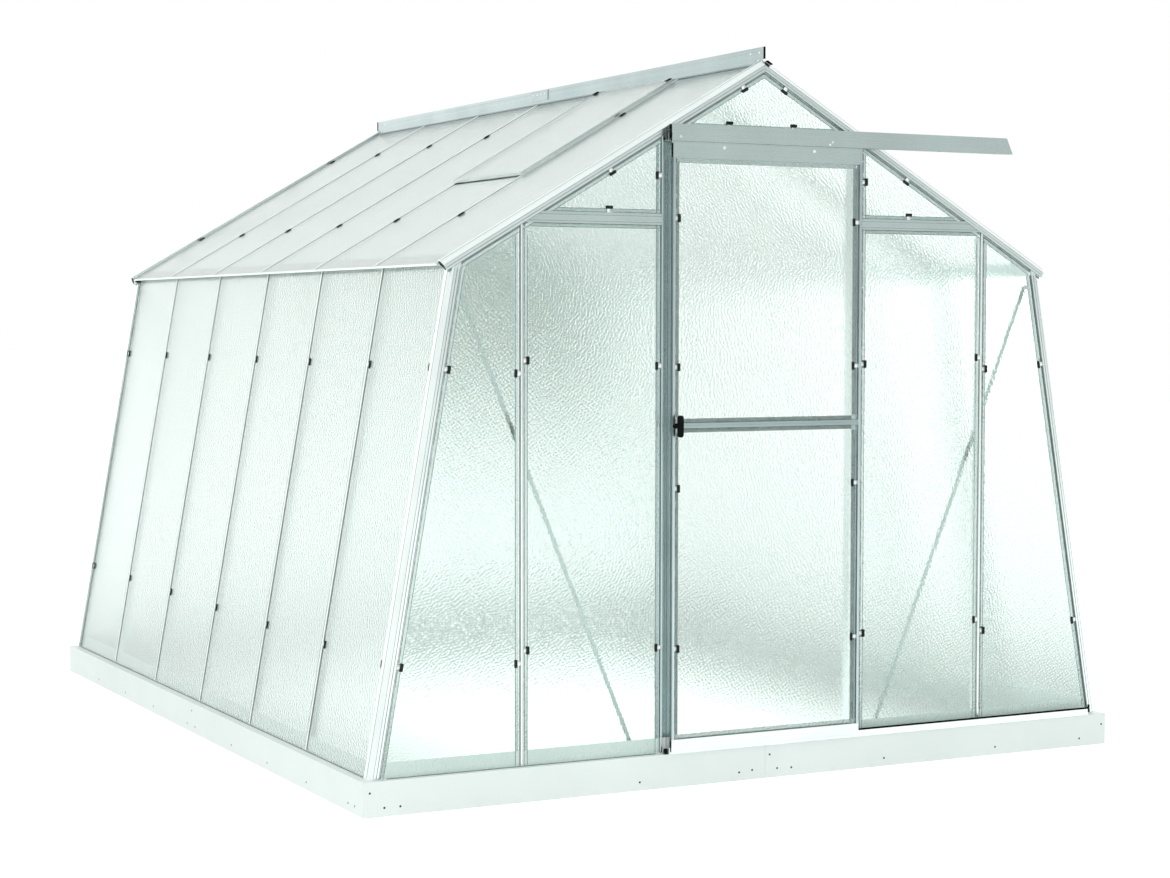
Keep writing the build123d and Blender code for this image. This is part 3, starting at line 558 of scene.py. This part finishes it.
# Zinc-plated spring steel, and dense black rubber with a dull skin.
clip_steel = patchy_finish("bright_steel", ((0.93, 0.95, 0.94, 1), (0.80, 0.83, 0.82, 1)),
                           patch_size=0.01, grain_size=0.002, rough=(0.22, 0.36),
                           grain_depth=None, Metallic=0.7)
clip_rubber = patchy_finish("black_rubber", ((0.006, 0.008, 0.008, 1), (0.014, 0.017, 0.017, 1)),
                            patch_size=0.02, grain_size=0.001, rough=(0.55, 0.75),
                            grain_depth=0.0001, Specular_IOR_Level=0.2)
cap_tree = build_cap_tree()
band_tree = build_band_tree()
for kind, (path_points, reach, spots, body) in clip_kinds.items():
    path_mesh = bpy.data.meshes.new("clip_path")
    path_mesh.from_pydata([(x * mm, 0, z * mm) for x, z in path_points],
                          [(number, number + 1) for number in range(len(path_points) - 1)], [])
    path_object = bpy.data.objects.new("clip_path", path_mesh)
    bpy.context.scene.collection.objects.link(path_object)
    grown(f"clip_bands_{kind}", band_tree, body, spots,
          {"Path": path_object, "Finish": clip_steel})
    grown(f"clip_caps_{kind}", cap_tree, body, spots,
          {"Finish": clip_rubber, "Reach": reach * mm})
    bpy.data.objects.remove(path_object)


# The door's grip and its rollers are moulded in matt black plastic with a fine grain. The grip
# sits on the left stile at the middle rail, and the rollers hang the door in its track.

black_moulding = patchy_finish(
    "moulded_black", ((0.002, 0.003, 0.003, 1), (0.006, 0.008, 0.008, 1)), patch_size=0.05,
    grain_size=0.0012, rough=(0.42, 0.60), grain_depth=0.0001, Specular_IOR_Level=0.03)
dress(black_moulding, "door_handle", "door_rollers")


# Thin grey strips run the length of every bar: one beside the nose on each hand, and one
# under the pane along the edge of the seat. They are rubber seals that also paint the shade in
# the groove beside the nose and at the shaded edge of the seat. The tubes have the same dark
# lines along their grooves, where they are painted shade only.

def blocks(name, body, finish, places):
    """Plain blocks, each (centre, half size, X direction, Z direction), as one piece."""
    points = []
    faces = []
    for centre, half, side, outward in places:
        side = side.normalized()
        ahead = outward.cross(side)
        first = len(points)
        for corner in range(8):
            signs = [1 if corner & bit else -1 for bit in (1, 2, 4)]
            points.append(centre + side * (half[0] * signs[0]) + ahead * (half[1] * signs[1])
                          + outward * (half[2] * signs[2]))
        for face in ((0, 2, 3, 1), (4, 5, 7, 6), (0, 1, 5, 4),
                     (2, 6, 7, 3), (0, 4, 6, 2), (1, 3, 7, 5)):
            faces.append([first + number for number in face])
    mesh = bpy.data.meshes.new(name)
    mesh.from_pydata(points, [], faces)
    mesh.materials.append(finish)
    add_piece(name, mesh, body)


def line_on(start, end, outward, across, width, low, high):
    """A long thin block between two points, set across and outward from their line."""
    along = (end - start).normalized()
    side = outward.cross(along)
    centre = (start + end) / 2 + side * across + outward * ((low + high) / 2)
    return centre, ((end - start).length / 2, width / 2, (high - low) / 2), along, outward


def under_roof(x, depth):
    """The height of the line that lies depth outside the roof glass's seat, at one x."""
    return ridge_seat.z - abs(x) * roof_up.z / -roof_up.x + depth / roof_out.z


# One dark grey finish serves all these strips, both rubber seals and painted shade.
rubber_and_shade_strips = patchy_finish("grey_rubber_and_shade", ((0.14, 0.17, 0.165, 1), (0.21, 0.25, 0.24, 1)),
                             patch_size=0.03, grain_size=0.001, rough=(0.55, 0.75),
                             grain_depth=0.0001)
bar_foot = 0.124
nose_side = 4 * mm
nose_gap = 0.4 * mm
seat_edge = 24 * mm
strip_width = 2.4 * mm
nose_strip = (0.05 * mm, 1 * mm)
seat_strip = (0.04 * mm, 0.26 * mm)
tube_top = -tube_face - 1 * mm
flange_top = -tube_face - 21 * mm


def bar_seals(start, end, short_end, outward):
    """Seals and painted shade of one bar. Those under the panes end where the next piece's flange
    starts.
    """
    made = []
    for hand in (-1, 1):
        beside_nose = hand * (nose_side + strip_width / 2 + nose_gap)
        under_pane = hand * (seat_edge - strip_width / 2)
        made.append(line_on(start, end, outward, beside_nose, strip_width, *nose_strip))
        made.append(line_on(start, short_end, outward, under_pane, strip_width, *seat_strip))
    return made


def post_seals_and_shade(x, flip):
    """Seals and painted shade of one post of a gable."""
    foot = gable_point(x, bar_foot)
    high = gable_point(x, under_roof(x, tube_top))
    low = gable_point(x, under_roof(abs(x) + seat_edge, flange_top))
    return bar_seals(foot * flip, high * flip, low * flip, gable_out * flip)


seal_and_shade_lines = post_seals_and_shade(0, to_rear)
for x in (-outer_post, -door_post, door_post, outer_post):
    seal_and_shade_lines += post_seals_and_shade(x, as_it_is) + post_seals_and_shade(x, to_rear)
for y in bar_places:
    for flip in (to_left, as_it_is):
        foot = wall_point(y, bar_foot) * flip
        top = wall_point(y, 1.862) * flip
        seal_and_shade_lines += bar_seals(foot, top, top, wall_out * flip)
        foot = roof_point(y, 1.445) * flip
        top = roof_point(y, 0.016) * flip
        seal_and_shade_lines += bar_seals(foot, top, top, roof_out * flip)

# Each line of a rail: the depth under the roof where it ends, its height, its width, and how
# far its two faces lie outside the seat, in millimetres.
# Like the bars' seals, these dark lines also paint shade; the last two, on the rails' faces, are
# painted shade only.
rail_low = 1.9952
rail_high = 2.0352
rail_lines = ((flange_top, rail_low - 0.0013, 0.0022, 0.05, 1),
              (flange_top, rail_high + 0.0013, 0.0022, 0.05, 1),
              (flange_top, rail_low - 0.0128, 0.0022, 0.04, 0.26),
              (flange_top, rail_high + 0.0128, 0.0022, 0.04, 0.26),
              (tube_top, rail_low + 0.008, 0.0014, 7.8, 8.12),
              (tube_top, rail_high - 0.010, 0.0014, 7.8, 8.12))
post_side = 0.006
for end in (-1, 1):
    for hand in (-1, 1):
        flip = Vector((hand, -end, 1))
        for depth, z, width, low, high in rail_lines:
            reach = (under_roof(0, depth) - z) * -roof_up.x / roof_up.z
            start = gable_point(door_post + post_side, z)
            finish = gable_point(min(outer_post - post_side, reach), z)
            seal_and_shade_lines.append(line_on(start * flip, finish * flip, gable_out * -end, 0,
                                 width, low * mm, high * mm))
blocks("bar_seals", "house", rubber_and_shade_strips, seal_and_shade_lines)

# Each line of a tube, in millimetres: how deep it lies under the roof or wall, its width, and
# its two faces outside the gable's seat. The lines are painted shade in the tube's grooves and
# where it meets its flange, and the line at the flange's edge is a seal that also paints shade.
grooves = ((-14.3, 1.5, 7.7, 8.12), (-3, 1.4, 7.7, 8.12), (-23.2, 1.2, 7.7, 8.12))
flange_line = (-43, 2, 0.04, 0.26)
post_lines = (*grooves, (-26.5, 3, 0.04, 1.5), flange_line)
rafter_lines = (*grooves, (-28.5, 7, 0.04, 1.5), flange_line)
at_seat = Vector((0, seat_y, 0))
post_run = (wall_point(0, bar_foot) + at_seat, wall_point(0, 1.838) + at_seat)
rafter_run = (roof_point(0, 1.452) + at_seat, ridge_seat + at_seat)
edge_lines = []
for flip in (to_left * to_rear, to_left, to_rear, as_it_is):
    for out, (start, finish), rows, meeting in (
            (wall_out, post_run, post_lines, Vector((0, 0, 0))),
            (roof_out, rafter_run, rafter_lines, roof_up * (-roof_up.z / roof_up.x))):
        for depth, width, low, high in rows:
            shift = out * (depth * mm)
            stop = finish + shift + meeting * (depth * mm)
            edge_lines.append(line_on((start + shift) * flip, stop * flip, gable_out * flip, 0,
                                      width * mm, low * mm, high * mm))
        # A dark strip at the edge of the tube's chamfer is painted shade as well.
        corner = out * (14.2 * mm) + gable_out * (-9.2 * mm)
        slant = (out + gable_out).normalized() * flip
        edge_lines.append(line_on((start + corner) * flip, (finish + corner) * flip, slant, 0,
                                  1.4 * mm, -0.3 * mm, 0.12 * mm))
blocks("edge_seals", "house", rubber_and_shade_strips, edge_lines)

# Dark strips on top of the base, along the foot of the sills, paint the shadow in the gap between
# the sills and the base.
foot_lines = []
for hand in (-1, 1):
    foot_lines.append((Vector((hand * 1.5312, 0, 0.1213)), (0.00125, 1.772, 0.0012),
                       house_right, up))
    for end in (-1, 1):
        foot_lines.append((Vector((hand * 0.955, end * 1.8375, 0.1213)),
                           (0.515, 0.00125, 0.0012), house_right, up))
blocks("foot_seals", "house", rubber_and_shade_strips, foot_lines)

pane_half = 0.364
stile_seat = 0.3745
stile_end_gap = 0.018
pane_heights = ((0.173, 1.278), (1.298, 2.2335))
middle_rail_edges = (1.270, 1.306)
# Dark strips on the door leaf, along the stiles' seats, at the top and foot of each pane and at
# the middle rail's edges, are seals that also paint the shade in the gaps round the panes.
door_seals = []
for low, high in pane_heights:
    for hand in (-1, 1):
        bottom = Vector((hand * stile_seat, door_seat_y, low + stile_end_gap))
        top = Vector((hand * stile_seat, door_seat_y, high - stile_end_gap))
        door_seals.append(line_on(bottom, top, gable_out, 0, 17 * mm, *seat_strip))
level_lines = [(z, 2.4 * mm, (0.04 * mm, 2.5 * mm))
               for low, high in pane_heights for z in (low + 0.001, high - 0.001)]
level_lines += [(z, 11 * mm, seat_strip) for z in middle_rail_edges]
for z, width, strip in level_lines:
    door_seals.append(line_on(Vector((-pane_half, door_seat_y, z)),
                              Vector((pane_half, door_seat_y, z)), gable_out, 0, width, *strip))
blocks("door_seals", "door_leaf", rubber_and_shade_strips, door_seals)
top_lip = (Vector((0, -1.869, 2.2867)), (0.394, 0.001, 0.0025), house_right, up)
blocks("door_top_lip", "door_leaf", metal_hood, [top_lip])


# Screws and bolts hold the base, the door track and the ridge. They are zinc-plated, with low
# round heads, and the base also has rows of punched holes for its ground bolts, drawn as thin
# black discs that paint the shade inside them.

def build_head_tree():
    """A low round head on each place, standing along the place's Z."""
    tree, start = new_shape_tree("round_head", {
        "Foot Radius": 0.004, "Top Radius": 0.003, "Head Height": 0.0018, "Sink": 0.0005},
        "Heads")
    cone = put(tree, "GeometryNodeMeshCone", [
        ("Vertices", 16), ("Radius Top", start["Top Radius"]),
        ("Radius Bottom", start["Foot Radius"]), ("Depth", start["Head Height"])])
    drop = put(tree, "ShaderNodeCombineXYZ", [("Z", math(tree, "MULTIPLY", start["Sink"], -1.0))])
    placed = put(tree, "GeometryNodeTransform", [
        ("Geometry", cone.outputs["Mesh"]), ("Translation", drop.outputs[0])])
    stand_on(tree, start, placed.outputs[0])
    return tree


head_tree = build_head_tree()
base_front_y = -1.863
base_side_x = 1.565
front_holes = [(x, 0.030) for x in (-1.490, -1.432, -0.518, -0.110, 0.112, 0.519, 1.031, 1.437)]
front_holes += [(-1.542, 0.083), (1.545, 0.078), (-0.055, 0.034), (0.019, 0.085), (0.051, 0.032)]
side_holes = [(y, 0.028) for y in (1.361, 0.935, 0.519, 0.052, -0.05, -0.501, -0.91, -1.32,
                                   -1.723, -1.784)]
side_holes += [(-0.009, 0.088)]
holes = [(Vector((x, base_front_y, z)), house_right, gable_out) for x, z in front_holes]
holes += [(Vector((x, -base_front_y, z)), house_right, -gable_out) for x, z in front_holes]
holes += [(Vector((base_side_x, y, z)), house_ahead, house_right) for y, z in side_holes]
holes += [(Vector((-base_side_x, y, z)), house_ahead, house_left) for y, z in side_holes]
# Black discs on the base paint the shade inside its punched holes.
grown("base_hole_rims", head_tree, "house", holes,
      {"Finish": clip_rubber, "Foot Radius": 0.004, "Top Radius": 0.0038, "Head Height": 0.0007})

track_front_y = -1.876
door_front_y = -1.874
fin_side_x = 0.00125
plate_side_x = 0.00355
fin_screw_z = 2.624
screws = [(Vector((x, track_front_y, z)), house_right, gable_out)
          for x, z in ((-0.367, 2.3055), (0.266, 2.3075), (0.255, 2.298))]
for y in (-1.800, -1.739, 1.739, 1.800):
    screws.append((Vector((-fin_side_x, y, fin_screw_z)), house_ahead, house_left))
for y in (-0.055, -0.020, 0.020, 0.055):
    screws.append((Vector((-plate_side_x, y, fin_screw_z)), house_ahead, house_left))
    screws.append((Vector((plate_side_x, y, fin_screw_z)), house_ahead, house_right))
grown("frame_screws", head_tree, "house", screws,
      {"Finish": clip_steel, "Foot Radius": 0.0045, "Top Radius": 0.0032, "Head Height": 0.0025})
bolts = [(Vector((x, door_front_y, 2.272)), house_right, gable_out) for x in (-0.189, 0.188)]
grown("door_bolts", head_tree, "door_leaf", bolts,
      {"Finish": clip_steel, "Foot Radius": 0.0065, "Top Radius": 0.005, "Head Height": 0.004})


# Small black mouldings close the ends of the ridge and the track, and keep the door's foot on
# its guide. A black strip along the top of the guide paints the shadow in the gap under the sill,
# and pads sit under the vent's hinges.

black_blocks = [
    (Vector((-0.4035, -1.868, 2.310)), (0.0014, 0.006, 0.007), house_right, up),
    (Vector((-0.4115, -1.859, 0.131)), (0.0055, 0.007, 0.009), house_right, up),
    (Vector((1.479, -1.866, 0.146)), (0.0028, 0.003, 0.015), house_right, up),
    # This long black strip is painted shadow, of the gap between the guide and the sill.
    (Vector((0.940, -1.866, 0.1476)), (0.536, 0.001, 0.0035), house_right, up),
]
for end in (-1, 1):
    black_blocks.append((Vector((0, end * 1.8325, 2.6210)), (0.003, 0.0025, 0.0215),
                         house_right, up))
    wing = roof_point(end * 1.829, 0.016) + roof_out * 0.0166
    black_blocks.append((wing, (0.012, 0.008, 0.0015), -roof_up, roof_out))
for y in (-1.215, -0.615):
    pad = roof_point(y, 0.045) + roof_out * 0.0225
    black_blocks.append((pad * to_left, (0.010, 0.010, 0.002), house_ahead, roof_out * to_left))
blocks("black_fittings", "house", black_moulding, black_blocks)


# The studio is a plain pale floor, one soft lamp from the front left, and a white room. What
# the panes show of their surroundings is a shade round the foot of the house, on the floor seen
# through glass, and a few soft lobes of the room.

floor_radius = 40.0
floor_tone = (0.86, 0.885, 0.88, 1)
floor_glow = 0.40
foot_half_width = 1.45
foot_half_length = 1.78


def smooth_step(tree, value, low, high, first=0.0, last=1.0):
    """A soft step from one value to another."""
    return put(tree, "ShaderNodeMapRange", [
        ("Value", value), ("From Min", low), ("From Max", high), ("To Min", first),
        ("To Max", last)], interpolation_type="SMOOTHSTEP").outputs[0]


bpy.ops.mesh.primitive_circle_add(vertices=96, radius=floor_radius, fill_type="NGON")
floor = bpy.context.object
floor.name = "studio_floor"
floor_finish, tree, shader, output = new_material("studio_floor")
shader.inputs["Roughness"].default_value = 0.9
path = put(tree, "ShaderNodeLightPath")
through = path.outputs["Is Transmission Ray"]
place = put(tree, "ShaderNodeTexCoord").outputs["Object"]
spot = put(tree, "ShaderNodeSeparateXYZ", [("Vector", place)])
beside = math(tree, "SUBTRACT", math(tree, "ABSOLUTE", spot.outputs["X"]), foot_half_width)
behind = math(tree, "SUBTRACT", math(tree, "ABSOLUTE", spot.outputs["Y"]), foot_half_length)
outside = math(tree, "MAXIMUM", beside, behind)
near_shade = smooth_step(tree, outside, -1.0, 0.30, 1.0, 0.38)
far_light = smooth_step(tree, outside, 0.4, 2.6, 0.0, 0.50)
foot_light = math(tree, "ADD", near_shade, far_light)
shade = math(tree, "MULTIPLY", through, math(tree, "SUBTRACT", 1.0, foot_light))
tree.links.new(tone_between(tree, shade, floor_tone, (0, 0, 0, 1)), shader.inputs["Base Color"])
seen = math(tree, "MAXIMUM", path.outputs["Is Camera Ray"],
            math(tree, "MAXIMUM", through, path.outputs["Is Glossy Ray"]))
glow = math(tree, "SUBTRACT", floor_glow, math(tree, "MULTIPLY", shade, floor_glow))
shader.inputs["Emission Color"].default_value = (0.955, 1.0, 0.985, 1)
tree.links.new(math(tree, "MULTIPLY", seen, glow), shader.inputs["Emission Strength"])
floor.data.materials.append(floor_finish)

world = bpy.data.worlds.new("studio_room")
bpy.context.scene.world = world
world.use_nodes = True
tree = world.node_tree
tree.nodes.clear()
direction = put(tree, "ShaderNodeTexCoord").outputs["Generated"]


def towards(aim, low, high):
    """A soft mask round one direction of the room, between two cosines of the angle to it."""
    return smooth_step(tree, dot_product(tree, direction, Vector(aim).normalized()), low, high)


white_room = (0.965, 1.0, 0.985, 1)
dim_front = (0.58, 0.63, 0.62, 1)
no_change = (1, 1, 1, 1)
front_right = towards((0.44, -0.895, 0.0), 0.35, 0.95)
room_tone = tone_between(tree, front_right, white_room, dim_front)
# Each lobe: its direction, the cosines where it starts and is full, and what it multiplies by.
room_lobes = (
    ((0.460, 0.888, 0.0), 0.9866, 0.9984, (0.22, 0.27, 0.245, 1)),
    ((0.565, 0.819, 0.11), 0.9890, 0.9994, (2.2, 2.16, 2.17, 1)),
    ((0.669, 0.743, -0.01), 0.9903, 0.9994, (1.9, 1.88, 1.88, 1)),
    ((-0.289, 0.955, 0.07), 0.98163, 0.99756, (1.62, 1.6, 1.6, 1)),
)
for aim, low, high, gain in room_lobes:
    lobe = put(tree, "ShaderNodeMix", [
        ("Factor", 1.0), (6, room_tone),
        (7, tone_between(tree, towards(aim, low, high), no_change, gain))],
        data_type="RGBA", blend_type="MULTIPLY")
    room_tone = lobe.outputs[2]
room = put(tree, "ShaderNodeBackground", [("Color", room_tone), ("Strength", 1.16)])
page = put(tree, "ShaderNodeBackground", [("Color", (1, 1, 1, 1)), ("Strength", 1.0)])
path = put(tree, "ShaderNodeLightPath")
mix = put(tree, "ShaderNodeMixShader", [
    (0, path.outputs["Is Camera Ray"]), (1, room.outputs[0]), (2, page.outputs[0])])
put(tree, "ShaderNodeOutputWorld", [("Surface", mix.outputs[0])])

lamp_data = bpy.data.lights.new("soft_front", "AREA")
lamp_data.energy = 215
lamp_data.size = 5.0
lamp_aim = Vector((0, 0, 1))
lamp = bpy.data.objects.new("soft_front", lamp_data)
bpy.context.scene.collection.objects.link(lamp)
lamp.location = (-3.0, -9.0, 5.5)
lamp.rotation_euler = (lamp_aim - lamp.location).to_track_quat("-Z", "Y").to_euler()
lamp.visible_glossy = False
lamp.visible_camera = False


# The camera stands where the photograph was taken from, at eye height, looking a little down.

eye = Vector((-4.459771, -9.113095, 1.657187))
turn_right = 0.4743
tilt_up = -0.05
roll = 0.0015
photo_width = 1170
focal_pixels = 2355.15
camera_data = bpy.data.cameras.new("camera")
camera_data.sensor_width = 36.0
camera_data.lens = focal_pixels / photo_width * camera_data.sensor_width
camera_data.clip_end = 200.0
camera = bpy.data.objects.new("camera", camera_data)
bpy.context.scene.collection.objects.link(camera)
camera.matrix_world = (Matrix.Translation(eye) @ Matrix.Rotation(-turn_right, 4, "Z")
                       @ Matrix.Rotation(pi / 2 + tilt_up, 4, "X") @ Matrix.Rotation(roll, 4, "Z"))
bpy.context.scene.camera = camera
bpy.context.scene.view_settings.view_transform = "Standard"
